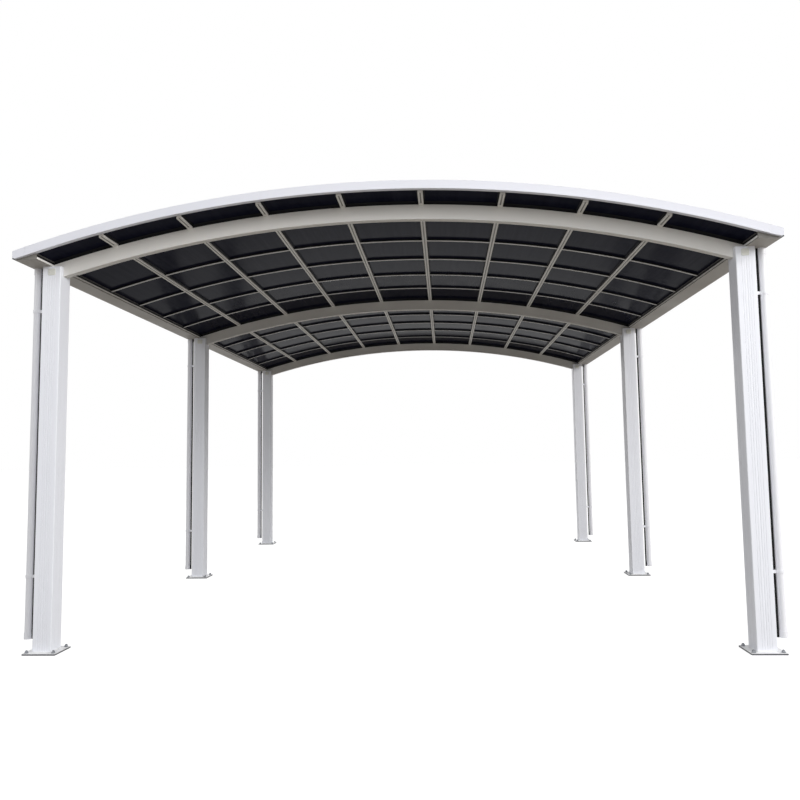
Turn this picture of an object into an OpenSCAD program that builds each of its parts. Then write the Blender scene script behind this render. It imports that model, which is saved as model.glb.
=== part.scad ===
// Double carport: six posts, three arched beams and a curved glazed roof between two box gutters.
// The width runs along X, the length along Y; the ground is z = 0 and the origin is its centre.

/* [Layout] */
// Distance between the post axes across the width
post_spacing = 5500; // [4500:50:6500]
// Distance between the post axes along the length
bay_length = 3500; // [2600:50:4200]
// Reach of the roof past the outer post axes
overhang = 311; // [250:1:600]

/* [Posts] */
// Post width across the carport
post_w = 150; // [120:2:180]
// Post depth along the carport
post_d = 150; // [120:2:180]
// Height of the seat for the beam in the post heads
post_top = 2990; // [2300:10:3400]
// Thickness of the outer wall of the slot in the post head that takes the beam end
ear_w = 34; // [20:1:36]
// Chamfer along the upright post edges
post_chamfer = 4; // [2:0.5:10]
// Width of the middle flute in the front and rear faces
flute_mid_w = 7; // [4:1:12]
// Width of the fine flutes
flute_w = 3; // [2:0.5:5]
// Depth of all flutes
flute_depth = 1; // [1:0.5:4]
// Spacing of the flutes in the front and rear faces
flute_pitch = 18; // [14:1:20]
// Fine flutes on each side of the middle one
flute_side_count = 2; // [1:1:2]
// Distance of the two flutes in the inner and outer faces from their middle
flute_offset = 26; // [18:1:40]

/* [Base plates] */
// Base plate width across the carport
plate_w = 262; // [240:2:300]
// Base plate depth along the carport
plate_d = 236; // [230:2:290]
// Base plate thickness
plate_t = 14; // [8:1:25]
// Distance from a plate edge to its bolt holes
bolt_edge = 24; // [18:1:26]
// Bolt hole radius
bolt_r = 9; // [6:0.5:10]

/* [Arched beams] */
// Radius of the underside of the beams
arch_r = 9340; // [7500:20:12000]
// Beam height
beam_h = 120; // [100:2:160]
// Beam thickness along the carport
beam_t = 54; // [40:2:90]
// Height of the bead along the lower edges
bead_h = 10; // [6:1:16]
// Reach of the bead past the beam face
bead_out = 3; // [1:0.5:6]
// Width of the groove in the underside
soffit_w = 30; // [16:1:36]
// Depth of the groove in the underside
soffit_depth = 4; // [2:0.5:8]

/* [Roof] */
// Panels side by side across the width
panel_count = 9; // [7:2:11]
// Panel thickness
panel_t = 6; // [3:0.5:10]
// Reach of the outer panels past the inner gutter faces
panel_over = 40; // [25:1:60]
// Sideways shift of all purlins from an even layout
purlin_shift = -62; // [-90:1:90]
// Purlin flange width
purlin_w = 40; // [30:1:60]
// Height of the lower purlin flange
purlin_h = 30; // [24:1:40]
// Thickness of the purlin web between two panels
web_t = 8; // [5:1:12]
// Height of the purlin cap over the panels
cap_h = 7; // [4:1:12]
// Width of the groove along the purlin underside
purlin_groove_w = 12; // [6:1:14]
// Depth of the groove along the purlin underside
purlin_groove_depth = 9; // [2:1:10]
// Gap between a panel edge and the web
panel_gap = 2; // [1:0.5:4]
// Cross bars under the panels in each bay
bars_per_bay = 5; // [3:1:6]
// Spacing of the cross bars as a share of the bay length, counted from the rear beam of the bay
bar_share = 0.18; // [0.12:0.005:0.19]
// Width of the flange under a cross bar
bar_w = 24; // [20:1:60]
// Thickness of that flange
bar_flange_t = 4; // [3:0.5:8]
// Width of the cross bar above its flange
bar_stem_w = 16; // [10:1:18]
// Cross bar height
bar_h = 19; // [12:1:23]

/* [Fascias] */
// Fascia height
fascia_h = 67; // [50:1:90]
// Fascia thickness
fascia_t = 40; // [30:1:60]
// Height of the fascia lip under the panels
fascia_lip = 6; // [4:1:14]
// Depth of the slot that takes the panel ends
slot_depth = 15; // [8:1:22]
// Height of the bead along the lower front edge
fascia_bead_h = 14; // [5:1:20]
// Reach of that bead past the fascia face
fascia_bead_out = 3; // [1:0.5:6]
// Distance from the outer panel edge to the fascia end
fascia_reach = 40; // [20:1:60]

/* [Gutters] */
// Thickness of the plate that closes a gutter end
end_plate_t = 10; // [4:1:20]
// Offset of the inner gutter face from the post axis
gutter_inset = 10; // [0:1:30]
// Height of the gutter floor above the beam seats
gutter_rise = 76; // [60:1:82]
// Height of the outer gutter wall
gutter_h = 63; // [55:1:90]
// Thickness of the gutter floor and outer wall
gutter_wall = 5; // [3:0.5:8]
// Thickness of the inner gutter wall
gutter_inner_wall = 12; // [9:0.5:18]
// Height of the shadow groove in the inner face
shadow_h = 17; // [8:1:20]
// Depth of the shadow groove
shadow_depth = 8; // [3:0.5:8]
// Height of the lip above the shadow groove
gutter_lip = 10; // [5:1:14]
// Margin between a pipe collar and the outer gutter face
gutter_rim = 3.5; // [1:0.5:10]

/* [Downpipes] */
// Outer radius of the downpipes
pipe_r = 27; // [20:0.5:32]
// Pipe wall thickness
pipe_wall = 2.5; // [2:0.5:5]
// Gap between a post and its pipe
pipe_gap = 51; // [40:1:80]
// Height of the pipe's open lower end
pipe_foot = 100; // [60:5:250]
// Extra radius of the collars at both pipe ends
collar_t = 3.5; // [1:0.5:6]
// Height of the collars
collar_h = 50; // [30:1:80]
// Height of the lower clip's middle
clip_low = 585; // [300:5:1200]
// Drop of the upper clip's middle below the beam seat
clip_drop = 280; // [150:5:700]
// Clip height
clip_h = 24; // [14:1:40]
// Clip band thickness
clip_t = 4; // [2:0.5:6]
// Width of the dark spacer strip between a post and its pipe
spacer_w = 16; // [8:1:30]
// Thickness of that strip
spacer_t = 8; // [4:1:44]

/* [Hidden] */
// Clearance between curved faces that meet
clear = 0.3;
// Overrun of a cutting solid past the faces it cuts
over = 5;
// Angle of two facets of the wide roof arcs
arc_step = 2.9;
// Facets of small round pieces
pipe_fn = 64;

half = post_spacing / 2;
post_face = half + post_w / 2;
post_inner = half - post_w / 2;
arc_z = post_top - sqrt(arch_r * arch_r - post_inner * post_inner);
beam_r = arch_r + beam_h;
flange_r = beam_r + clear + purlin_h;
deck_r = flange_r + clear;
panel_top_r = deck_r + panel_t;
cap_r = panel_top_r + clear;
roof_y = bay_length + overhang;
inner_y = roof_y - fascia_t;
beam_end = post_face - ear_w;
slot_w = beam_t + 2 * bead_out + 2 * clear;

bore_r = pipe_r - pipe_wall;
collar_r = pipe_r + collar_t;
pipe_x = post_face + pipe_gap + pipe_r;
clip_high = post_top - clip_drop;

gutter_z = post_top + gutter_rise;
gutter_in = half + gutter_inset;
gutter_out = pipe_x + collar_r + gutter_rim;
gutter_top = gutter_z + gutter_h;
gutter_inner_top = arc_at(deck_r, gutter_in + gutter_inner_wall) - clear;
shadow_top = gutter_inner_top - gutter_lip;
shadow_foot = shadow_top - shadow_h;

panel_edge = gutter_in + panel_over;
edge_angle = asin(panel_edge / deck_r);
panel_angle = 2 * edge_angle / panel_count;
shift_angle = asin(purlin_shift / deck_r);
web_angle = asin((web_t / 2 + panel_gap) / deck_r);
flange_angle = asin((purlin_w / 2 + clear) / beam_r);
bar_end_angle = asin((gutter_in - clear) / deck_r);
bar_pitch = bar_share * bay_length;

fascia_foot = deck_r - clear - fascia_lip;
fascia_head = fascia_foot + fascia_h;
fascia_end = panel_edge + fascia_reach;

sides = [-1, 1];
rows = [-1, 0, 1];
purlin_total = panel_count - 1;

// Height of a roof arc of radius r at a distance x from the middle plane
function arc_at(r, x) = arc_z + sqrt(r * r - x * x);

// Angle of purlin i from the vertical, with the outer panel edges as 0 and panel_count
function purlin_angle(i) = i * panel_angle - edge_angle + (i > 0 && i < panel_count ? shift_angle : 0);

// Facets per turn for a sweep of the given angle: an even number of steps, so that one ends at its middle
function arc_fn(angle) = floor((2 * max(1, floor(angle / arc_step)) - 0.01) * 360 / angle);

// Sweeps a profile of (radius, -y) points about the roof axis, from angle a0 to a1 off the vertical
module roof_arc(a0, a1) {
    translate([0, 0, arc_z])
        rotate([90, 0, 0])
            rotate([0, 0, 90 - a1])
                rotate_extrude(angle = a1 - a0, $fn = arc_fn(a1 - a0))
                    children();
}

// Extrudes a profile of (x, z) points along the length from y0 to y1
module along_length(y0, y1) {
    translate([0, y1, 0])
        rotate([90, 0, 0])
            linear_extrude(height = y1 - y0)
                children();
}

// Cuts away everything past x on both sides
module side_trim(x, y0, y1) {
    for (s = sides)
        translate([s * (x + half / 2), (y0 + y1) / 2, arc_at(beam_r, 0)])
            cube([half, y1 - y0 + 2 * over, 2 * arc_at(beam_r, 0)], center = true);
}

// Flute at x in the face that lies at the given distance from the post axis
module flute(x, w, face) {
    translate([x - w / 2, face - flute_depth, plate_t - over])
        cube([w, 2 * flute_depth, gutter_z]);
}

module post_outline() {
    x = post_w / 2;
    y = post_d / 2;
    c = post_chamfer;
    polygon([
        [c - x, -y], [x - c, -y], [x, c - y], [x, y - c],
        [x - c, y], [c - x, y], [-x, y - c], [-x, c - y]
    ]);
}

module post(s, row) {
    color("whitesmoke")
        translate([s * half, row * bay_length, 0])
            difference() {
                translate([0, 0, plate_t])
                    linear_extrude(height = gutter_z - plate_t)
                        post_outline();
                translate([s > 0 ? -post_w / 2 - over : ear_w - post_w / 2, -slot_w / 2, post_top])
                    cube([post_w - ear_w + over, slot_w, gutter_rise + over]);
                for (turn = [0, 180])
                    rotate([0, 0, turn]) {
                        flute(0, flute_mid_w, post_d / 2);
                        for (i = [1:flute_side_count], m = sides)
                            flute(m * i * flute_pitch, flute_w, post_d / 2);
                    }
                for (turn = [90, 270], m = sides)
                    rotate([0, 0, turn])
                        flute(m * flute_offset, flute_w, post_w / 2);
            }
}

module base_plate(s, row) {
    color("gainsboro")
        translate([s * half, row * bay_length, 0])
            difference() {
                translate([-plate_w / 2, -plate_d / 2, 0])
                    cube([plate_w, plate_d, plate_t]);
                for (mx = sides, my = sides)
                    translate([mx * (plate_w / 2 - bolt_edge), my * (plate_d / 2 - bolt_edge), -over])
                        cylinder(r = bolt_r, h = plate_t + 2 * over, $fn = pipe_fn);
            }
}

module downpipe(s, row) {
    color("white")
        translate([s * pipe_x, row * bay_length, 0])
            difference() {
                union() {
                    translate([0, 0, pipe_foot])
                        cylinder(r = pipe_r, h = gutter_z - pipe_foot, $fn = pipe_fn);
                    for (z = [pipe_foot, gutter_z - collar_h])
                        translate([0, 0, z])
                            cylinder(r = collar_r, h = collar_h, $fn = pipe_fn);
                }
                translate([0, 0, pipe_foot - over])
                    cylinder(r = bore_r, h = gutter_z - pipe_foot + 2 * over, $fn = pipe_fn);
            }
}

module clip(s, row, z) {
    translate([s * pipe_x, row * bay_length, z - clip_h / 2])
        difference() {
            union() {
                cylinder(r = pipe_r + clear + clip_t, h = clip_h, $fn = pipe_fn);
                translate([s > 0 ? -pipe_r - pipe_gap : 0, -pipe_r / 2, 0])
                    cube([pipe_r + pipe_gap, pipe_r, clip_h]);
            }
            translate([0, 0, -over])
                cylinder(r = pipe_r + clear, h = clip_h + 2 * over, $fn = pipe_fn);
        }
}

module pipe_clips() {
    color("white")
        for (s = sides, row = rows, z = [clip_low, clip_high])
            clip(s, row, z);
}

// Dark strips beside the pipes that close the gap to the posts, in lengths between the clips
module pipe_spacers() {
    feet = [pipe_foot, clip_low + clip_h / 2, clip_high + clip_h / 2];
    heads = [clip_low - clip_h / 2, clip_high - clip_h / 2, gutter_z];
    middle_x = pipe_x - collar_r - clear - spacer_w / 2;
    color("black")
        for (s = sides, row = rows, i = [0:2])
            translate([s * middle_x - spacer_w / 2, row * bay_length - spacer_t / 2, feet[i]])
                cube([spacer_w, spacer_t, heads[i] - feet[i]]);
}

module beam_profile() {
    lip = beam_t / 2 + bead_out;
    polygon([
        [arch_r, -lip], [arch_r, -soffit_w / 2],
        [arch_r + soffit_depth, -soffit_w / 2], [arch_r + soffit_depth, soffit_w / 2],
        [arch_r, soffit_w / 2], [arch_r, lip],
        [arch_r + bead_h, lip], [arch_r + bead_h, beam_t / 2],
        [beam_r, beam_t / 2], [beam_r, -beam_t / 2],
        [arch_r + bead_h, -beam_t / 2], [arch_r + bead_h, -lip]
    ]);
}

// Seats of the beam ends: the flats in the post heads, and the steps that carry the gutters
module beam_seats() {
    depth = beam_t + 2 * bead_out + 2 * over;
    translate([-gutter_out, -depth / 2, 0])
        cube([2 * gutter_out, depth, post_top]);
    for (s = sides)
        translate([s * (gutter_in + half / 2), 0, gutter_z + beam_h / 2])
            cube([half, depth, beam_h], center = true);
}

module arched_beam(row) {
    span = asin((beam_end + clear) / arch_r);
    color("gainsboro")
        translate([0, row * bay_length, 0])
            difference() {
                roof_arc(-span, span)
                    beam_profile();
                beam_seats();
                side_trim(beam_end, -beam_t, beam_t);
            }
}

// Lower flange with its groove, web between the panels, and cap over them, as (x, radius) points
module purlin_profile() {
    foot = beam_r + clear;
    g = purlin_groove_w / 2;
    w = purlin_w / 2;
    t = web_t / 2;
    polygon([
        [-w, foot], [-g, foot], [-g, foot + purlin_groove_depth],
        [g, foot + purlin_groove_depth], [g, foot], [w, foot],
        [w, flange_r], [t, flange_r], [t, cap_r], [w, cap_r],
        [w, cap_r + cap_h], [-w, cap_r + cap_h], [-w, cap_r],
        [-t, cap_r], [-t, flange_r], [-w, flange_r]
    ]);
}

module purlin(i) {
    color("gainsboro")
        translate([0, 0, arc_z])
            rotate([0, purlin_angle(i), 0])
                along_length(-inner_y, inner_y)
                    purlin_profile();
}

module roof_panel(i) {
    a0 = purlin_angle(i - 1) + (i > 1 ? web_angle : 0);
    a1 = purlin_angle(i) - (i < panel_count ? web_angle : 0);
    reach = inner_y + slot_depth - clear;
    color([0.10, 0.11, 0.13])
        roof_arc(a0, a1)
            translate([deck_r, -reach])
                square([panel_t, 2 * reach]);
}

// Flange with the stem above it, as (radius, -y) points about the middle of the bar
module bar_profile() {
    foot = deck_r - clear - bar_h;
    w = bar_w / 2;
    t = bar_stem_w / 2;
    polygon([
        [foot, -w], [foot, w], [foot + bar_flange_t, w], [foot + bar_flange_t, t],
        [foot + bar_h, t], [foot + bar_h, -t], [foot + bar_flange_t, -t], [foot + bar_flange_t, -w]
    ]);
}

// One bar between two neighbouring purlins, or between an outer purlin and the gutter
module cross_bar(i, y) {
    a0 = i > 1 ? purlin_angle(i - 1) + flange_angle : -bar_end_angle;
    a1 = i < panel_count ? purlin_angle(i) - flange_angle : bar_end_angle;
    roof_arc(a0, a1)
        translate([0, -y])
            bar_profile();
}

module cross_bars(rear_beam_y) {
    color("silver")
        for (k = [1:bars_per_bay], i = [1:panel_count])
            cross_bar(i, rear_beam_y - k * bar_pitch);
}

// Fascia section as (radius, distance from the front) points, with the slot open to the rear
module fascia_profile() {
    polygon([
        [fascia_foot, 0], [fascia_foot + fascia_bead_h, 0],
        [fascia_foot + fascia_bead_h, -fascia_bead_out], [fascia_head, -fascia_bead_out],
        [fascia_head, -fascia_t], [cap_r, -fascia_t], [cap_r, -fascia_t + slot_depth],
        [deck_r - clear, -fascia_t + slot_depth], [deck_r - clear, -fascia_t], [fascia_foot, -fascia_t]
    ]);
}

module front_fascia() {
    span = asin((fascia_end + clear) / fascia_foot);
    color("white")
        difference() {
            roof_arc(-span, span)
                translate([0, roof_y])
                    fascia_profile();
            side_trim(fascia_end, -roof_y, -inner_y);
        }
}

module rear_fascia() {
    mirror([0, 1, 0])
        front_fascia();
}

// Block that carries the fascia line on to the corner, and the plate behind it that closes the gutter end
module corner_cap() {
    foot = arc_at(fascia_foot, fascia_end);
    along_length(-roof_y + fascia_bead_out, -inner_y)
        polygon([
            [fascia_end, foot], [gutter_out, gutter_z], [gutter_out, gutter_top],
            [fascia_end, arc_at(fascia_head, fascia_end)]
        ]);
    along_length(-inner_y - end_plate_t, -inner_y)
        polygon([
            [gutter_in, gutter_z], [gutter_out, gutter_z], [gutter_out, gutter_top - over],
            [fascia_end, foot - clear], [gutter_in, arc_at(fascia_foot - clear, gutter_in)]
        ]);
}

module corner_caps() {
    color("white")
        for (mx = [0, 1], my = [0, 1])
            mirror([mx, 0, 0])
                mirror([0, my, 0])
                    corner_cap();
}

module gutter_profile() {
    floor_z = gutter_z + gutter_wall;
    trough_in = gutter_in + gutter_inner_wall;
    trough_out = gutter_out - gutter_wall;
    polygon([
        [gutter_in, gutter_z], [gutter_out, gutter_z], [gutter_out, gutter_top],
        [trough_out, gutter_top], [trough_out, floor_z], [trough_in, floor_z],
        [trough_in, gutter_inner_top], [gutter_in, gutter_inner_top], [gutter_in, shadow_top],
        [gutter_in + shadow_depth, shadow_top], [gutter_in + shadow_depth, shadow_foot],
        [gutter_in, shadow_foot]
    ]);
}

module right_gutter() {
    color("lightgray")
        difference() {
            along_length(-inner_y, inner_y)
                gutter_profile();
            for (row = rows)
                translate([pipe_x, row * bay_length, gutter_z - over])
                    cylinder(r = bore_r, h = gutter_wall + 2 * over, $fn = pipe_fn);
        }
}

module left_gutter() {
    mirror([1, 0, 0])
        right_gutter();
}

post(-1, -1);  // front_left_post
post(1, -1);  // front_right_post
post(-1, 0);  // middle_left_post
post(1, 0);  // middle_right_post
post(-1, 1);  // rear_left_post
post(1, 1);  // rear_right_post
base_plate(-1, -1);  // front_left_base_plate
base_plate(1, -1);  // front_right_base_plate
base_plate(-1, 0);  // middle_left_base_plate
base_plate(1, 0);  // middle_right_base_plate
base_plate(-1, 1);  // rear_left_base_plate
base_plate(1, 1);  // rear_right_base_plate
downpipe(-1, -1);  // front_left_downpipe
downpipe(1, -1);  // front_right_downpipe
downpipe(-1, 0);  // middle_left_downpipe
downpipe(1, 0);  // middle_right_downpipe
downpipe(-1, 1);  // rear_left_downpipe
downpipe(1, 1);  // rear_right_downpipe
arched_beam(-1);  // front_arched_beam
arched_beam(0);  // middle_arched_beam
arched_beam(1);  // rear_arched_beam
left_gutter();
right_gutter();
front_fascia();
rear_fascia();
corner_caps();
pipe_clips();
pipe_spacers();
cross_bars(0);  // front_bay_cross_bars
cross_bars(bay_length);  // rear_bay_cross_bars
for (i = [1:purlin_total])
    purlin(i);
for (i = [1:panel_count])
    roof_panel(i);
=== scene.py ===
import math

import bmesh
import bpy
import numpy as np
from mathutils import Matrix, Vector


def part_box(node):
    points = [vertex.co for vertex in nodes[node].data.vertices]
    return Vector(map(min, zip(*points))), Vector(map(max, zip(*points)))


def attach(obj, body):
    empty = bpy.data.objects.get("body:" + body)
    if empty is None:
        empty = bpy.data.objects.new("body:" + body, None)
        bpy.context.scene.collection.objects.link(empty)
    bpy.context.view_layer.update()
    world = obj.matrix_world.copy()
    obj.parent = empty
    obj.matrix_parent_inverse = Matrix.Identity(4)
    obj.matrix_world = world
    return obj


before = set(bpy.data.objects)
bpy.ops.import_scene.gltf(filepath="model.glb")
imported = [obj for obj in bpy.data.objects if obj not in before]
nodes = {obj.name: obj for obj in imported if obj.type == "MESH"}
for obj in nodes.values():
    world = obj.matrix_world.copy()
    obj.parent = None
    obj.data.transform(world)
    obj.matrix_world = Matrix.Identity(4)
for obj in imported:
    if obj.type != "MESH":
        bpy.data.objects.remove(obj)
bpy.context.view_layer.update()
print("frame:", len(nodes), "nodes loaded")

# The roof's arcs share one axis along Y. Radii and lengths in metres, angles in radians from the upright.
roof = {"archRadius": 9.340, "beamHeight": 0.120, "beamThick": 0.054, "purlinHeight": 0.030,
        "purlinWidth": 0.040, "purlinShift": -0.062, "panelThick": 0.006, "panelCount": 9, "panelReach": 2.800,
        "capHeight": 0.007, "barHeight": 0.019, "barFlange": 0.004, "clear": 0.0003}
gutter = {"floor": 0.005, "innerWall": 0.012, "lip": 0.010}  # wall thicknesses, and the lip over its groove
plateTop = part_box("front_left_base_plate")[1].z
beamTop = roof["archRadius"] + roof["beamHeight"]
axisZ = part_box("front_arched_beam")[1].z - beamTop
deckRadius = beamTop + roof["purlinHeight"] + 2 * roof["clear"]
capTop = deckRadius + roof["panelThick"] + roof["clear"] + roof["capHeight"]
edgeAngle = math.asin(roof["panelReach"] / deckRadius)
purlinAngles = edgeAngle * (2 * np.arange(1, roof["panelCount"]) / roof["panelCount"] - 1)
purlinAngles = purlinAngles + math.asin(roof["purlinShift"] / deckRadius)
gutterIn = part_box("right_gutter")[0].x
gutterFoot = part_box("right_gutter")[0].z
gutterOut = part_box("right_gutter")[1].x
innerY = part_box("purlin_1")[1].y
lipTop = axisZ + math.sqrt(deckRadius ** 2 - (gutterIn + gutter["innerWall"]) ** 2) - roof["clear"]
rowNames = ("front", "middle", "rear")
rowY = [sum(v.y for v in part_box(row + "_arched_beam")) / 2 for row in rowNames]
postLow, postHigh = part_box("front_right_post")
postX = (postLow.x + postHigh.x) / 2
postHalf = (postHigh.y - postLow.y) / 2
pipeX = sum(v.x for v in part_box("front_right_downpipe")) / 2


# Roof point: an arc of radius r at angle a, moved s along its tangent, at y along the length
def roofPoint(a, r, y, s=0.0):
    a, r, y, s = np.broadcast_arrays(a, r, y, s)
    return np.stack((r * np.sin(a) + s * np.cos(a), y, axisZ + r * np.cos(a) - s * np.sin(a)), -1)


# Places at the six posts: distance x to either side, in each row of posts, at height z
def postPlaces(x, z):
    return np.array([(side * x, y, z) for side in (-1, 1) for y in rowY])


# Grid quads: cell (i, j) joins rows i and i+1 at columns j and j+1. The last column joins the first,
# and so does the last row where it wraps.
def gridQuads(rows, cols, wrapRows=False):
    i = np.arange(rows if wrapRows else rows - 1)[:, None]
    j = np.arange(cols)[None, :]
    i1, j1 = (i + 1) % rows, (j + 1) % cols
    return np.stack((i * cols + j, i1 * cols + j, i1 * cols + j1, i * cols + j1), -1).reshape(-1, 4)


# Closed shell from a stack of rings (n, m, 3): quads between neighbours, and a face over each end
# unless the stack loops
def shellOf(rings, loop=False):
    n, m = rings.shape[:2]
    faces = gridQuads(n, m, wrapRows=loop).tolist()
    if not loop:
        faces += [np.arange(m).tolist(), (np.arange(m) + (n - 1) * m).tolist()]
    return rings.reshape(-1, 3), faces


# Turned shape: the profile's radius carried round Z; with sides it is a polygon of that inner radius
def turned(profile, steps, sides=0):
    profile = np.array(profile)
    t = np.linspace(0, 2 * math.pi, steps, endpoint=False)
    stretch = 1 / np.cos(t % (2 * math.pi / sides) - math.pi / sides) if sides else np.ones(steps)
    r = profile[:, :1] * stretch
    return np.stack((r * np.cos(t), r * np.sin(t), np.broadcast_to(profile[:, 1:], r.shape)), -1)


# Copies of one shell: every point turned by a copy's matrix (k, 3, 3) and moved to its place (k, 3)
def copiesOf(shell, places, turns=np.eye(3)[None]):
    verts, faces = shell
    many = np.einsum("kab,vb->kva", turns, verts) + places[:, None, :]
    return [(many[k], faces) for k in range(len(many))]


# One object from many shells, with faces turned outwards and smooth across edges below the given angle
def makePiece(name, shells, material, smooth=35):
    verts = np.concatenate([v for v, f in shells])
    starts = np.cumsum([0] + [len(v) for v, f in shells[:-1]])
    faces = [[i + start for i in face] for start, (v, f) in zip(starts.tolist(), shells) for face in f]
    mesh = bpy.data.meshes.new(name)
    mesh.from_pydata(verts.tolist(), [], faces)
    work = bmesh.new()
    work.from_mesh(mesh)
    bmesh.ops.recalc_face_normals(work, faces=work.faces)
    work.to_mesh(mesh)
    work.free()
    mesh.polygons.foreach_set("use_smooth", np.ones(len(mesh.polygons), bool))
    mesh.set_sharp_from_angle(angle=math.radians(smooth))
    mesh.materials.append(material)
    piece = bpy.data.objects.new(name, mesh)
    bpy.context.scene.collection.objects.link(piece)
    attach(piece, "root")
    print("piece:", name, len(mesh.polygons), "faces")
    return piece


# Shader helpers: a node, a socket that is linked or set, and the nodes that most materials use
def addNode(tree, kind, values=None, **settings):
    node = tree.nodes.new(kind)
    for key, value in settings.items():
        setattr(node, key, value)
    for key, value in (values or {}).items():
        node.inputs[key].default_value = value
    return node


def feed(tree, socket, value):
    if isinstance(value, bpy.types.NodeSocket):
        tree.links.new(value, socket)
    else:
        socket.default_value = value


def mathNode(tree, operation, a, b=0.0, clamp=False):
    node = addNode(tree, "ShaderNodeMath", operation=operation, use_clamp=clamp)
    feed(tree, node.inputs[0], a)
    feed(tree, node.inputs[1], b)
    return node.outputs[0]


def mixColour(tree, factor, a, b):
    node = addNode(tree, "ShaderNodeMix", data_type="RGBA")
    for index, value in ((0, factor), (6, a), (7, b)):  # factor and the two colours of a colour mix
        feed(tree, node.inputs[index], value)
    return node.outputs[2]


# One between low and high, else zero
def betweenNode(tree, value, low, high):
    return mathNode(tree, "MULTIPLY", mathNode(tree, "GREATER_THAN", value, low),
                    mathNode(tree, "LESS_THAN", value, high))


def rangeNode(tree, value, low, high, toLow=0.0, toHigh=1.0):
    node = addNode(tree, "ShaderNodeMapRange",
                   {"From Min": low, "From Max": high, "To Min": toLow, "To Max": toHigh})
    tree.links.new(value, node.inputs["Value"])
    return node.outputs["Result"]


def noiseNode(tree, vector, scale, detail=2.0, rough=0.5, stretch=(1, 1, 1)):
    mapping = addNode(tree, "ShaderNodeMapping", {"Scale": stretch})
    tree.links.new(vector, mapping.inputs["Vector"])
    node = addNode(tree, "ShaderNodeTexNoise", {"Scale": scale, "Detail": detail, "Roughness": rough})
    tree.links.new(mapping.outputs["Vector"], node.inputs["Vector"])
    return node.outputs["Fac"]


def newGroup(name, inputs, outputs):
    group = bpy.data.node_groups.new(name, "ShaderNodeTree")
    for socketName, kind, value in inputs:
        socket = group.interface.new_socket(socketName, in_out="INPUT", socket_type=kind)
        if value is not None:
            socket.default_value = value
    for socketName, kind in outputs:
        group.interface.new_socket(socketName, in_out="OUTPUT", socket_type=kind)
    return group, group.nodes.new("NodeGroupInput").outputs, group.nodes.new("NodeGroupOutput").inputs


# Coat grain: slow clouds for tone, and the fine pebbling of a sprayed coat
def makeCoatGrain():
    group, given, result = newGroup(
        "coatGrain", [("Position", "NodeSocketVector", None), ("Fineness", "NodeSocketFloat", 260.0)],
        [("Cloud", "NodeSocketFloat"), ("Grain", "NodeSocketFloat")])
    cloud = noiseNode(group, given["Position"], 1.7, 4.0, 0.55)
    grain = addNode(group, "ShaderNodeTexNoise", {"Detail": 1.5})
    group.links.new(given["Position"], grain.inputs["Vector"])
    group.links.new(given["Fineness"], grain.inputs["Scale"])
    group.links.new(cloud, result["Cloud"])
    group.links.new(grain.outputs["Fac"], result["Grain"])
    return group


# Weathering: splash near the ground that fades with height, and thin upright runs of dirt
def makeWeathering():
    group, given, result = newGroup(
        "weathering", [("Position", "NodeSocketVector", None), ("Splash Height", "NodeSocketFloat", 0.3)],
        [("Splash", "NodeSocketFloat"), ("Runs", "NodeSocketFloat")])
    parts = addNode(group, "ShaderNodeSeparateXYZ")
    group.links.new(given["Position"], parts.inputs[0])
    height = mathNode(group, "DIVIDE", parts.outputs["Z"], given["Splash Height"])
    fade = rangeNode(group, height, 0.0, 1.0, 1.0, 0.0)
    blotch = rangeNode(group, noiseNode(group, given["Position"], 22.0, 5.0, 0.65), 0.35, 0.75)
    group.links.new(mathNode(group, "MULTIPLY", fade, blotch, True), result["Splash"])
    runs = noiseNode(group, given["Position"], 38.0, 3.0, 0.5, (1, 1, 0.035))
    group.links.new(rangeNode(group, runs, 0.56, 0.78), result["Runs"])
    return group


# Edge wear and highlight: how far a rounded normal leans from the flat one, which is only so along an edge.
# The coats lighten their colour there, as wear and as a painted highlight
def makeEdgeWearHighlight():
    group, given, result = newGroup(
        "edgeWearHighlight", [("Reach", "NodeSocketFloat", 0.002)],
        [("Edge", "NodeSocketFloat"), ("Rounded", "NodeSocketVector")])
    bevel = addNode(group, "ShaderNodeBevel", samples=4)
    group.links.new(given["Reach"], bevel.inputs["Radius"])
    flat = addNode(group, "ShaderNodeNewGeometry")
    lean = addNode(group, "ShaderNodeVectorMath", operation="DOT_PRODUCT")
    group.links.new(bevel.outputs["Normal"], lean.inputs[0])
    group.links.new(flat.outputs["Normal"], lean.inputs[1])
    group.links.new(rangeNode(group, lean.outputs["Value"], 0.99, 0.80), result["Edge"])
    group.links.new(bevel.outputs["Normal"], result["Rounded"])
    return group


# Arc radius: distance from the roof's axis in the upright plane across the width
def makeArcRadius():
    group, given, result = newGroup(
        "arcRadius", [("Position", "NodeSocketVector", None)], [("Radius", "NodeSocketFloat")])
    parts = addNode(group, "ShaderNodeSeparateXYZ")
    group.links.new(given["Position"], parts.inputs[0])
    rise = mathNode(group, "SUBTRACT", parts.outputs["Z"], axisZ)
    squares = mathNode(group, "ADD", mathNode(group, "MULTIPLY", parts.outputs["X"], parts.outputs["X"]),
                       mathNode(group, "MULTIPLY", rise, rise))
    group.links.new(mathNode(group, "SQRT", squares), result["Radius"])
    return group


coatGrain, weathering = makeCoatGrain(), makeWeathering()
edgeWearHighlight, arcRadius = makeEdgeWearHighlight(), makeArcRadius()
print("groups: coat grain, weathering, edge wear and arc radius")


def groupNode(tree, group, position=None, values=None):
    node = addNode(tree, "ShaderNodeGroup", node_tree=group)
    if position is not None:
        tree.links.new(position, node.inputs["Position"])
    for key, value in (values or {}).items():
        node.inputs[key].default_value = value
    return node.outputs


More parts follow.
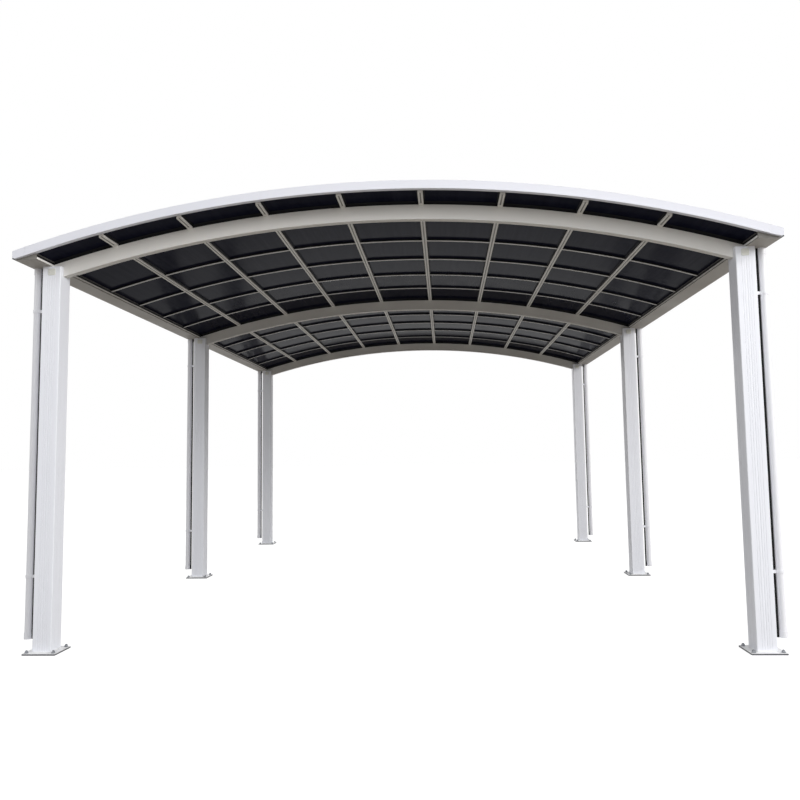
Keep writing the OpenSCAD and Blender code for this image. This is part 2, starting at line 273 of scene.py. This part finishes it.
def newMaterial(name, values):
    material = bpy.data.materials.new(name)
    material.use_nodes = True
    tree = material.node_tree
    tree.nodes.clear()
    shader = addNode(tree, "ShaderNodeBsdfPrincipled", values)
    output = addNode(tree, "ShaderNodeOutputMaterial")
    tree.links.new(shader.outputs[0], output.inputs["Surface"])
    position = addNode(tree, "ShaderNodeTexCoord").outputs["Object"]
    return material, tree, shader, position


def bumpInto(tree, shader, height, strength, distance, normal=None):
    bump = addNode(tree, "ShaderNodeBump", {"Strength": strength, "Distance": distance})
    tree.links.new(height, bump.inputs["Height"])
    if normal is not None:
        tree.links.new(normal, bump.inputs["Normal"])
    tree.links.new(bump.outputs[0], shader.inputs["Normal"])


# Inside mask: one where Z, |X| and |Y| are each within the patch's low and high
def insideRanges(tree, position, patch):
    parts = addNode(tree, "ShaderNodeSeparateXYZ")
    tree.links.new(position, parts.inputs[0])
    mask = 1.0
    for axis in "XYZ":
        low, high = patch.get(axis.lower(), (-99.0, 99.0))
        value = parts.outputs[axis] if axis == "Z" else mathNode(tree, "ABSOLUTE", parts.outputs[axis])
        mask = mathNode(tree, "MULTIPLY", betweenNode(tree, value, low, high), mask)
    return mask


sealBlack = (0.006, 0.006, 0.007, 1)


# Sprayed coat: two close tones in clouds, grey splash and runs, lighter edges as wear and as a painted
# highlight, pebbled bump; a black band carries a seal and painted shade, and patches of other tones carry
# painted shade and light
def coatMaterial(name, coat):
    material, tree, shader, position = newMaterial(name, {"Specular IOR Level": coat["gloss"]})
    grain = groupNode(tree, coatGrain, position, {"Fineness": coat["fineness"]})
    dirt = groupNode(tree, weathering, position, {"Splash Height": coat["splashHeight"]})
    wear = groupNode(tree, edgeWearHighlight, None, {"Reach": coat["edge"]})
    colour = mixColour(tree, grain["Cloud"], coat["toneA"], coat["toneB"])
    colour = mixColour(tree, mathNode(tree, "MULTIPLY", dirt["Runs"], coat["runs"]), colour, coat["dirt"])
    colour = mixColour(tree, mathNode(tree, "MULTIPLY", dirt["Splash"], coat["splash"]), colour, coat["dirt"])
    colour = mixColour(tree, mathNode(tree, "MULTIPLY", wear["Edge"], coat["rubHighlight"]), colour, coat["rubbedHighlight"])
    if "blackBand" in coat:  # a black band between these two roof radii: a seal, and painted shade under the panels
        radius = groupNode(tree, arcRadius, position)["Radius"]
        colour = mixColour(tree, betweenNode(tree, radius, *coat["blackBand"]), colour, sealBlack)
    for patch in coat.get("patches", ()):  # another tone inside a range of Z, of |X| and of |Y|
        colour = mixColour(tree, insideRanges(tree, position, patch), colour, patch["tone"])
    tree.links.new(colour, shader.inputs["Base Color"])
    rough = rangeNode(tree, grain["Cloud"], 0.3, 0.7, coat["rough"] - 0.06, coat["rough"] + 0.06)
    tree.links.new(rough, shader.inputs["Roughness"])
    bumpInto(tree, shader, grain["Grain"], coat["bump"], 0.0006, wear["Rounded"])
    return material


# White coat: its edges are lighter, as rubbed wear and as a painted highlight along the edges
whiteCoat = {"toneA": (0.86, 0.87, 0.93, 1), "toneB": (0.89, 0.90, 0.95, 1), "dirt": (0.42, 0.40, 0.36, 1),
             "rubbedHighlight": (0.92, 0.92, 0.94, 1), "gloss": 0.35, "rough": 0.42, "fineness": 260.0, "edge": 0.003,
             "splashHeight": 0.35, "splash": 0.08, "runs": 0.02, "rubHighlight": 0.2, "bump": 0.05}
fasciaCoat = dict(whiteCoat, toneA=(0.74, 0.745, 0.81, 1), toneB=(0.78, 0.785, 0.84, 1), splash=0.0)
# Under coat: the same white paint set darker and warmer, as painted shade for faces in the shade of the roof;
# the beams, gutters, cross bars, purlins, groove strips and head tabs start from it
shadedUnderCoat = dict(whiteCoat, toneA=(0.74, 0.72, 0.69, 1), toneB=(0.80, 0.78, 0.75, 1), gloss=0.2, rough=0.55,
                 rubbedHighlight=(0.82, 0.80, 0.77, 1), splash=0.0)
innerFace, farOff = (0.0, gutterIn + 0.001), 9.0
# Gutter: warm grey as painted shade, a lighter inner face as painted light, a painted shadow line along the
# inner face's foot, a cool fascia-like tone on the outer face, and painted shade on the darker underside and
# on the near-black lip under the panels
gutterCoat = dict(shadedUnderCoat, toneA=(0.84, 0.82, 0.79, 1), toneB=(0.88, 0.86, 0.83, 1), patches=(
    {"tone": (0.94, 0.92, 0.89, 1), "x": innerFace, "z": (gutterFoot + 0.008, farOff)},
    {"tone": (0.22, 0.205, 0.185, 1), "x": innerFace, "z": (gutterFoot, gutterFoot + 0.008)},  # painted shadow line along the foot
    {"tone": (0.76, 0.765, 0.82, 1), "x": (gutterOut - 0.002, farOff)},  # outer face
    {"tone": (0.38, 0.355, 0.325, 1), "z": (0.0, gutterFoot + 0.001)},  # underside, darker as painted shade
    {"tone": (0.10, 0.095, 0.09, 1), "x": (0.0, gutterIn + gutter["innerWall"] + 0.001),
     "z": (lipTop - gutter["lip"] - 0.0005, farOff)}))  # lip under the panels, near black as painted shade
capCoat = dict(fasciaCoat, patches=(
    {"tone": (0.19, 0.18, 0.165, 1), "x": (0.0, gutterOut - 0.001), "y": (0.0, innerY + 0.012)},  # end plate, darkened as painted shade
    {"tone": (0.05, 0.05, 0.05, 1), "x": (gutterOut - 0.012, farOff), "z": (0.0, gutterFoot + 0.007)}))  # painted shadow gap at the lower tip
barFoot = deckRadius - roof["clear"] - roof["barHeight"]
# Cross bars: the under coat set darker still as painted shade, and black from the flange up to the panel as a
# seal and as painted shade under the panel
barCoat = dict(shadedUnderCoat, toneA=(0.62, 0.61, 0.60, 1), toneB=(0.68, 0.67, 0.66, 1),
               blackBand=(barFoot + roof["barFlange"] + 0.0002, deckRadius))
# Purlins: black just under the panel as a seal line and as painted shade, and darker end faces as painted
# shade
purlinCoat = dict(shadedUnderCoat, blackBand=(beamTop + 0.013, deckRadius + roof["panelThick"]), patches=(
    {"tone": (0.42, 0.40, 0.37, 1), "y": (innerY - 0.001, farOff)},))  # end faces, darker as painted shade
# Groove strips: a dark grey that stands in for the shade in each purlin's groove, painted shade
grooveShadeCoat = dict(shadedUnderCoat, toneA=(0.26, 0.25, 0.235, 1), toneB=(0.31, 0.30, 0.285, 1))
plateCoat = dict(whiteCoat, toneA=(0.84, 0.84, 0.85, 1), toneB=(0.88, 0.88, 0.89, 1), splashHeight=0.05,
                 splash=0.10, rough=0.5, bump=0.12, patches=(
    {"tone": (0.10, 0.10, 0.11, 1), "z": (0.0, plateTop - 0.003)},))  # painted shade on the plate's sides, below its top
pipeCoat = dict(whiteCoat, toneA=(0.83, 0.83, 0.87, 1), toneB=(0.86, 0.86, 0.89, 1), gloss=0.25, rough=0.35,
                fineness=90.0, edge=0.001)
# Head tabs: a greyer, warmer tone of the white coat, as painted shade under the gutter
tabShadedCoat = dict(shadedUnderCoat, toneA=(0.74, 0.74, 0.69, 1), toneB=(0.79, 0.79, 0.74, 1), rough=0.45)
postMaterial = coatMaterial("postCoat", whiteCoat)
fasciaMaterial = coatMaterial("fasciaCoat", fasciaCoat)
capMaterial = coatMaterial("cornerCoat", capCoat)
beamMaterial = coatMaterial("beamCoat", shadedUnderCoat)
gutterMaterial = coatMaterial("gutterCoat", gutterCoat)
barMaterial = coatMaterial("barCoat", barCoat)
purlinMaterial = coatMaterial("purlinCoat", purlinCoat)
grooveShadeMaterial = coatMaterial("grooveShadeCoat", grooveShadeCoat)
tabMaterial = coatMaterial("tabShadedCoat", tabShadedCoat)
plateMaterial = coatMaterial("plateCoat", plateCoat)
pipeMaterial = coatMaterial("pipePlastic", pipeCoat)


# Smoke panel: near black, faint long drawing marks, smudged gloss, and dust that dulls its upper face only
def smokeMaterial():
    smoke = {"colour": (0.008, 0.009, 0.020, 1), "mark": (0.016, 0.017, 0.030, 1),
             "dust": (0.10, 0.10, 0.095, 1), "gloss": 0.006, "rough": 0.10, "dustRough": 0.40,
             "coat": 0.05, "coatRough": 0.36}
    material, tree, shader, position = newMaterial("smokePanel", {"Specular IOR Level": smoke["gloss"]})
    marks = noiseNode(tree, position, 14.0, 3.0, 0.6, (1, 0.05, 1))
    colour = mixColour(tree, rangeNode(tree, marks, 0.35, 0.75), smoke["colour"], smoke["mark"])
    radius = groupNode(tree, arcRadius, position)["Radius"]
    panelTop = deckRadius + roof["panelThick"]
    upper = rangeNode(tree, radius, panelTop - 0.0008, panelTop - 0.0004)
    dust = rangeNode(tree, noiseNode(tree, position, 3.0, 6.0, 0.7), 0.35, 0.8, 0.05, 0.55)
    colour = mixColour(tree, mathNode(tree, "MULTIPLY", upper, dust), colour, smoke["dust"])
    tree.links.new(colour, shader.inputs["Base Color"])
    smudge = noiseNode(tree, position, 5.0, 5.0, 0.6)
    rough = rangeNode(tree, smudge, 0.3, 0.7, smoke["rough"], smoke["rough"] + 0.10)
    rough = mathNode(tree, "ADD", rough, mathNode(tree, "MULTIPLY", upper, smoke["dustRough"]))
    tree.links.new(rough, shader.inputs["Roughness"])
    tree.links.new(mathNode(tree, "MULTIPLY", upper, smoke["coat"]), shader.inputs["Coat Weight"])
    shader.inputs["Coat Roughness"].default_value = smoke["coatRough"]
    return material


# Rubber: matt black with a fine grain
def rubberMaterial():
    material, tree, shader, position = newMaterial("blackRubber", {"Specular IOR Level": 0.15})
    grain = groupNode(tree, coatGrain, position, {"Fineness": 700.0})
    tree.links.new(mixColour(tree, grain["Cloud"], sealBlack, (0.012, 0.012, 0.013, 1)),
                   shader.inputs["Base Color"])
    tree.links.new(rangeNode(tree, grain["Grain"], 0.2, 0.8, 0.62, 0.8), shader.inputs["Roughness"])
    bumpInto(tree, shader, grain["Grain"], 0.2, 0.0004)
    return material


# Zinc: grey metal in crystal patches, with duller spots
def zincMaterial():
    material, tree, shader, position = newMaterial("boltZinc", {"Metallic": 1.0})
    patch = addNode(tree, "ShaderNodeTexVoronoi", {"Scale": 320.0})
    tree.links.new(position, patch.inputs["Vector"])
    grain = groupNode(tree, coatGrain, position, {"Fineness": 900.0})
    tree.links.new(mixColour(tree, patch.outputs["Distance"], (0.22, 0.23, 0.25, 1), (0.38, 0.39, 0.41, 1)),
                   shader.inputs["Base Color"])
    tree.links.new(rangeNode(tree, grain["Grain"], 0.3, 0.7, 0.28, 0.5), shader.inputs["Roughness"])
    bumpInto(tree, shader, grain["Grain"], 0.15, 0.0003)
    return material


smokeFinish, rubberFinish, zincFinish = smokeMaterial(), rubberMaterial(), zincMaterial()
finishOf = {"post": postMaterial, "base_plate": plateMaterial, "downpipe": pipeMaterial,
            "pipe_clips": pipeMaterial, "pipe_spacers": rubberFinish, "fascia": fasciaMaterial,
            "corner_caps": capMaterial, "gutter": gutterMaterial, "arched_beam": beamMaterial,
            "purlin": purlinMaterial, "cross_bars": barMaterial, "roof_panel": smokeFinish}
for nodeName, node in nodes.items():
    key = next(key for key in finishOf if key in nodeName)
    node.data.materials.clear()
    node.data.materials.append(finishOf[key])
print("materials: set on", len(nodes), "nodes")


# Anchor bolts: threaded stud as a turned wave, hexagon nut and washer, four to a plate
def makeAnchorBolts():
    bolt = {"studRadius": 0.008, "studHigh": 0.021, "threadPitch": 0.002, "threadDepth": 0.0008,
            "washer": 0.0155, "washerThick": 0.003, "nutFlats": 0.024, "nutThick": 0.012,
            "holeX": 0.107, "holeY": 0.094}
    z = np.arange(-0.010, bolt["studHigh"] - 0.002, bolt["threadPitch"] / 2)
    r = bolt["studRadius"] - bolt["threadDepth"] * (np.arange(len(z)) % 2)
    stud = np.concatenate((np.stack((r, z), -1), [[bolt["studRadius"] * 0.7, bolt["studHigh"]]]))
    t, n0 = bolt["washerThick"], bolt["nutThick"]
    washer = [(bolt["washer"] - 0.0004, 0.0), (bolt["washer"], 0.0004), (bolt["washer"], t - 0.0005),
              (bolt["washer"] - 0.0006, t)]
    flat = bolt["nutFlats"] / 2
    nut = [(flat - 0.0008, t), (flat, t + 0.001), (flat, t + n0 - 0.0022), (flat - 0.0018, t + n0)]
    shells = [shellOf(turned(stud, 14)), shellOf(turned(washer, 28)), shellOf(turned(nut, 24, sides=6))]
    holes = np.array([(hx * bolt["holeX"], hy * bolt["holeY"], 0.0) for hx in (-1, 1) for hy in (-1, 1)])
    places = (postPlaces(postX, plateTop)[:, None] + holes).reshape(-1, 3)
    copies = [copy for shell in shells for copy in copiesOf(shell, places)]
    return makePiece("anchorBolts", copies, zincFinish)


# Weld: a hollow fillet section carried round each post's chamfered outline, mitred at the corners
def makePostWelds():
    weld = {"leg": 0.006, "half": 0.075, "chamfer": 0.004}
    h, c, leg = weld["half"], weld["chamfer"], weld["leg"]
    outline = np.array([(c - h, -h), (h - c, -h), (h, c - h), (h, h - c),
                        (h - c, h), (c - h, h), (-h, h - c), (-h, c - h)])
    edge = np.roll(outline, -1, 0) - outline
    normal = np.stack((edge[:, 1], -edge[:, 0]), -1) / np.linalg.norm(edge, axis=1, keepdims=True)
    before = np.roll(normal, 1, 0)
    mitre = (normal + before) / (1 + (normal * before).sum(1, keepdims=True))
    section = np.array([(-0.0022, 0.0), (-0.0022, leg), (0.0004, leg), (0.0016, leg * 0.42),
                        (leg * 0.45, 0.0015), (leg, 0.0004), (leg, 0.0)])
    flat = outline[:, None, :] + mitre[:, None, :] * section[None, :, :1]
    rings = np.concatenate((flat, np.broadcast_to(section[None, :, 1:], flat.shape[:2] + (1,))), -1)
    copies = copiesOf(shellOf(rings, loop=True), postPlaces(postX, plateTop))
    return makePiece("postWelds", copies, plateMaterial)


# Purlin gaskets: a low rounded section under the panel on each side of a purlin, straight along Y
def makePurlinGaskets():
    gasket = {"wide": 0.012, "thick": 0.007}
    w, t = gasket["wide"], gasket["thick"]
    s = roof["purlinWidth"] / 2 + np.array([0.0001, 0.0001, w * 0.6, w * 0.9, w])
    r = deckRadius - np.array([0.0001, t, t, t * 0.6, 0.0001])
    y = np.array([-innerY, innerY])[:, None]
    shells = [shellOf(roofPoint(a, r[None, :], y, side * s[None, :]))
              for a in purlinAngles for side in (-1, 1)]
    return makePiece("purlinGaskets", shells, rubberFinish)


# Groove shade strips: a shallow hollow section in the groove under each purlin, straight along Y, dark as
# painted shade in the groove
def makeGrooveShadeStrips():
    strip = {"half": 0.0057, "foot": 0.0040, "hollow": 0.0055, "top": 0.0088}
    s = strip["half"] * np.array([-1.0, -0.5, 0.5, 1.0, 1.0, -1.0])
    foot, hollow, top = strip["foot"], strip["hollow"], strip["top"]
    r = beamTop + np.array([foot, hollow, hollow, foot, top, top])
    y = (innerY - 0.001) * np.array([-1.0, 1.0])[:, None]
    shells = [shellOf(roofPoint(a, r[None, :], y, s[None, :])) for a in purlinAngles]
    return makePiece("grooveShadeStrips", shells, grooveShadeMaterial)


# Beam seals: waisted black strips that close the gap between beam and panels, bent along the arc
# from purlin to purlin
def makeBeamSeals():
    seal = {"thick": 0.044, "waist": 0.038, "steps": 14}
    spare = (roof["purlinWidth"] / 2 + 0.0005) / beamTop
    ends = math.asin((gutterIn - 0.001) / deckRadius)
    starts = np.concatenate(([-ends], purlinAngles + spare))
    stops = np.concatenate((purlinAngles - spare, [ends]))
    low, high = beamTop + 0.0001, deckRadius - 0.0001
    r = np.array([low, (low + high) / 2, high, high, (low + high) / 2, low])
    half = np.array([seal["thick"], seal["waist"], seal["thick"]]) / 2
    across = np.concatenate((-half, half))
    shells = []
    for y in rowY:
        for a0, a1 in zip(starts, stops):
            a = np.linspace(a0, a1, seal["steps"])[:, None]
            shells.append(shellOf(roofPoint(a, r[None, :], y + across[None, :])))
    return makePiece("beamSeals", shells, rubberFinish)


# Purlin tabs: an angle section across the purlin's width, one leg under it and one down the beam's face,
# with a screw
def makePurlinTabs():
    tab = {"drop": 0.019, "reach": 0.034, "thick": 0.0024, "screw": 0.0045, "screwDrop": 0.0115}
    drop, reach, t = tab["drop"], tab["reach"], tab["thick"]
    out = np.array([0.0, 0.0, reach, reach, t, t, t * 0.5])
    r = beamTop + np.array([-drop, 0.0, 0.0, -t, -t, -drop + t * 0.5, -drop])
    s = roof["purlinWidth"] / 2 * np.array([-1.0, -0.96, 0.96, 1.0])[:, None]
    k = tab["screw"]
    dome = turned([(k, 0.0), (k, 0.0008), (k * 0.8, 0.0018), (k * 0.4, 0.0024)], 12)
    shells = []
    for y in rowY:
        for side in (-1, 1):
            face = y + side * roof["beamThick"] / 2
            toFace = np.array([[1, 0, 0], [0, 0, side], [0, -side, 0]])
            for a in purlinAngles:
                shells.append(shellOf(roofPoint(a, r[None, :], face + side * out[None, :], s)))
                place = roofPoint(a, beamTop - tab["screwDrop"], face + side * t)
                shells += copiesOf(shellOf(dome), place[None], toFace[None].astype(float))
    return makePiece("purlinTabs", shells, beamMaterial)


# Head tabs: a rounded plate with a bevelled rim on the front and rear of each post head, held by two
# domed screws. Its corners are quarter circles about the four points that lie a radius inside.
def makeHeadTabs():
    tab = {"x0": 2.716, "x1": 2.778, "z0": 2.993, "z1": 3.048, "round": 0.012, "thick": 0.0035, "rim": 0.0012,
           "screw": 0.0048, "apart": 0.017}
    t = np.linspace(0, 2 * math.pi, 32, endpoint=False)
    arc = np.stack((np.cos(t), np.sin(t)), -1)
    low, high = np.array([tab["x0"], tab["z0"]]), np.array([tab["x1"], tab["z1"]])
    middle = (low + high) / 2
    corner = middle + ((high - low) / 2 - tab["round"]) * np.where(arc >= 0, 1.0, -1.0)
    depth, radius = np.array([(0.0, tab["round"]), (tab["thick"] - tab["rim"], tab["round"]),
                              (tab["thick"], tab["round"] - tab["rim"])]).T
    flat = corner + radius[:, None, None] * arc
    plate = np.stack((flat[..., 0], np.broadcast_to(depth[:, None], flat.shape[:2]), flat[..., 1]), -1)
    k = tab["screw"]
    dome = turned([(k, 0.0), (k, 0.0008), (k * 0.8, 0.0020), (k * 0.4, 0.0027)], 12)
    head = np.stack((dome[..., 0], dome[..., 2], -dome[..., 1]), -1)
    heads = [head + (middle[0] + side * tab["apart"], tab["thick"], middle[1]) for side in (-1, 1)]
    face = postHalf + 0.0001
    shells = []
    for rings in [plate] + heads:
        verts, faces = shellOf(rings)
        shells += [(verts * (sx, sy, 1) + (0, y + sy * face, 0), faces)
                   for y in rowY for sx in (-1, 1) for sy in (-1, 1)]
    return makePiece("headTabs", shells, tabMaterial)


# Gutter shade strips: a rounded black strip in the groove of each inner gutter face, straight along Y, as
# painted shade in the recess
def makeGutterShadeStrips():
    strip = {"groove": 0.017, "depth": 0.008, "shy": 0.003, "crown": 0.001}
    top = lipTop - gutter["lip"]
    foot, deep, front = top - strip["groove"], gutterIn + strip["depth"], gutterIn + strip["shy"]
    x = np.array([deep, front + strip["crown"], front, front + strip["crown"], deep])
    z = np.array([foot, foot, (foot + top) / 2, top, top])
    y = np.array([-innerY, innerY])[:, None]
    shells = [shellOf(np.stack(np.broadcast_arrays(side * x[None, :], y, z[None, :]), -1))
              for side in (-1, 1)]
    return makePiece("gutterShadeStrips", shells, rubberFinish)


# Roof screws: turned washer and domed head, standing square to the arc along each purlin's cap
def makeRoofScrews():
    screw = {"head": 0.0058, "washer": 0.009, "pitch": 0.42, "rows": 18}
    w, k = screw["washer"], screw["head"]
    profile = [(w, 0.0), (w, 0.0012), (k, 0.0018), (k, 0.0042), (k * 0.6, 0.0056)]
    y = (np.arange(screw["rows"]) - (screw["rows"] - 1) / 2) * screw["pitch"]
    a = np.repeat(purlinAngles, len(y))
    places = roofPoint(a, capTop, np.tile(y, len(purlinAngles)))
    zero, one = np.zeros_like(a), np.ones_like(a)
    turns = np.stack((np.cos(a), zero, np.sin(a), zero, one, zero, -np.sin(a), zero, np.cos(a)), -1)
    copies = copiesOf(shellOf(turned(profile, 10)), places, turns.reshape(-1, 3, 3))
    return makePiece("roofScrews", copies, zincFinish)


# Outlet rings: a flat ring section turned round each gutter outlet, sloped towards the hole
def makeOutletRings():
    ring = {"inner": 0.0246, "outer": 0.0285, "thick": 0.004}
    inner, outer, t = ring["inner"], ring["outer"], ring["thick"]
    section = [(inner, 0.0), (inner, t * 0.5), (inner + 0.002, t),
               (outer - 0.002, t), (outer, t * 0.4), (outer, 0.0)]
    shell = shellOf(turned(section, 36), loop=True)
    copies = copiesOf(shell, postPlaces(pipeX, gutterFoot + gutter["floor"]))
    return makePiece("outletRings", copies, pipeMaterial)


makeAnchorBolts()
makePostWelds()
makePurlinGaskets()
makeGrooveShadeStrips()
makeBeamSeals()
makePurlinTabs()
makeHeadTabs()
makeGutterShadeStrips()
makeRoofScrews()
makeOutletRings()


# Floor: white to the eye and to gloss, with a soft shadow; a mid grey for the light it throws back up
def makeFloor():
    floor = {"size": 120.0, "glow": 0.84, "seen": (0.38, 0.38, 0.38, 1), "thrown": (0.36, 0.34, 0.31, 1)}
    corners = np.array([(-1, -1, 0), (1, -1, 0), (1, 1, 0), (-1, 1, 0)]) * floor["size"]
    mesh = bpy.data.meshes.new("studioFloor")
    mesh.from_pydata(corners.tolist(), [], [(0, 1, 2, 3)])
    ground = bpy.data.objects.new("studioFloor", mesh)
    bpy.context.scene.collection.objects.link(ground)
    material = bpy.data.materials.new("studioFloor")
    material.use_nodes = True
    tree = material.node_tree
    tree.nodes.clear()
    seen = addNode(tree, "ShaderNodeBsdfDiffuse", {"Color": floor["seen"]})
    glow = addNode(tree, "ShaderNodeEmission", {"Strength": floor["glow"]})
    both = addNode(tree, "ShaderNodeAddShader")
    tree.links.new(seen.outputs[0], both.inputs[0])
    tree.links.new(glow.outputs[0], both.inputs[1])
    thrown = addNode(tree, "ShaderNodeBsdfDiffuse", {"Color": floor["thrown"]})
    pick = addNode(tree, "ShaderNodeMixShader")
    tree.links.new(seenRay(tree), pick.inputs[0])
    tree.links.new(thrown.outputs[0], pick.inputs[1])
    tree.links.new(both.outputs[0], pick.inputs[2])
    output = addNode(tree, "ShaderNodeOutputMaterial")
    tree.links.new(pick.outputs[0], output.inputs["Surface"])
    mesh.materials.append(material)


# Rays that show the backdrop: the camera's, and those seen in gloss and through glass
def seenRay(tree):
    path = addNode(tree, "ShaderNodeLightPath")
    seen = mathNode(tree, "MAXIMUM", path.outputs["Is Camera Ray"], path.outputs["Is Glossy Ray"])
    return mathNode(tree, "MAXIMUM", seen, path.outputs["Is Transmission Ray"])


# World: white to the eye and to gloss, a faintly blue sky for the light it gives
def makeWorld():
    sky = {"light": 0.53, "tint": (0.97, 0.985, 1.0, 1)}
    world = bpy.data.worlds.new("studioWorld")
    bpy.context.scene.world = world
    world.use_nodes = True
    tree = world.node_tree
    tree.nodes.clear()
    lit = addNode(tree, "ShaderNodeBackground", {"Color": sky["tint"], "Strength": sky["light"]})
    white = addNode(tree, "ShaderNodeBackground", {"Color": (1, 1, 1, 1), "Strength": 1.0})
    pick = addNode(tree, "ShaderNodeMixShader")
    tree.links.new(seenRay(tree), pick.inputs[0])
    tree.links.new(lit.outputs[0], pick.inputs[1])
    tree.links.new(white.outputs[0], pick.inputs[2])
    output = addNode(tree, "ShaderNodeOutputWorld")
    tree.links.new(pick.outputs[0], output.inputs["Surface"])


# Soft lamp: a square panel turned to face its target
def makeLamp(name, lamp):
    place, target = Vector(lamp["place"]), Vector(lamp["target"])
    data = bpy.data.lights.new(name, "AREA")
    data.size = lamp["size"]
    data.energy = lamp["watts"]
    data.color = lamp["colour"]
    holder = bpy.data.objects.new(name, data)
    holder.location = place
    holder.rotation_euler = (target - place).to_track_quat("-Z", "Y").to_euler()
    bpy.context.scene.collection.objects.link(holder)


# Lamps: the key from the right, weak ones from the front and the left, and one from the rear
def makeLamps():
    makeLamp("keyLamp", {"place": (18.5, -13.0, 9.5), "target": (0.0, -1.0, 1.6),
                         "size": 7.0, "watts": 2900.0, "colour": (1.0, 0.995, 0.985)})
    makeLamp("frontLamp", {"place": (2.0, -12.8, 6.1), "target": (0.0, -3.5, 2.6),
                           "size": 4.5, "watts": 280.0, "colour": (0.97, 0.985, 1.0)})
    makeLamp("leftLamp", {"place": (-11.0, -10.5, 6.5), "target": (-2.8, -3.5, 1.5),
                          "size": 5.0, "watts": 190.0, "colour": (0.97, 0.985, 1.0)})
    makeLamp("rearLamp", {"place": (-5.0, 14.0, 9.0), "target": (0.0, 0.0, 2.0),
                          "size": 9.0, "watts": 800.0, "colour": (1.0, 1.0, 1.0)})


# Camera: turned by yaw about the upright, then pitch, then roll, with the lens and shift of a square image
# of 800 px
def makeCamera():
    view = {"place": (0.4056, -9.0820, 1.4776), "yaw": 0.05116, "pitch": 0.08336, "roll": -0.01476,
            "focal": 711.712, "image": 800, "sensor": 36.0, "middle": (407.529, 398.142)}
    yaw, pitch, roll = view["yaw"], view["pitch"], view["roll"]
    ahead = Vector((-math.sin(yaw) * math.cos(pitch), math.cos(yaw) * math.cos(pitch), math.sin(pitch)))
    right = Vector((math.cos(yaw), math.sin(yaw), 0.0))
    up = right.cross(ahead)
    side = math.cos(roll) * right + math.sin(roll) * up
    top = math.cos(roll) * up - math.sin(roll) * right
    data = bpy.data.cameras.new("photoCamera")
    data.sensor_width = view["sensor"]
    data.lens = view["focal"] / view["image"] * view["sensor"]
    data.shift_x = (view["image"] / 2 - view["middle"][0]) / view["image"]
    data.shift_y = (view["middle"][1] - view["image"] / 2) / view["image"]
    data.clip_end = 500.0
    camera = bpy.data.objects.new("photoCamera", data)
    turn = Matrix((side, top, -ahead)).transposed().to_4x4()
    camera.matrix_world = Matrix.Translation(view["place"]) @ turn
    bpy.context.scene.collection.objects.link(camera)
    bpy.context.scene.camera = camera


makeFloor()
makeWorld()
makeLamps()
makeCamera()
bpy.context.scene.view_settings.view_transform = "Standard"
print("stage: floor, lamps and camera placed")

bpy.context.view_layer.update()
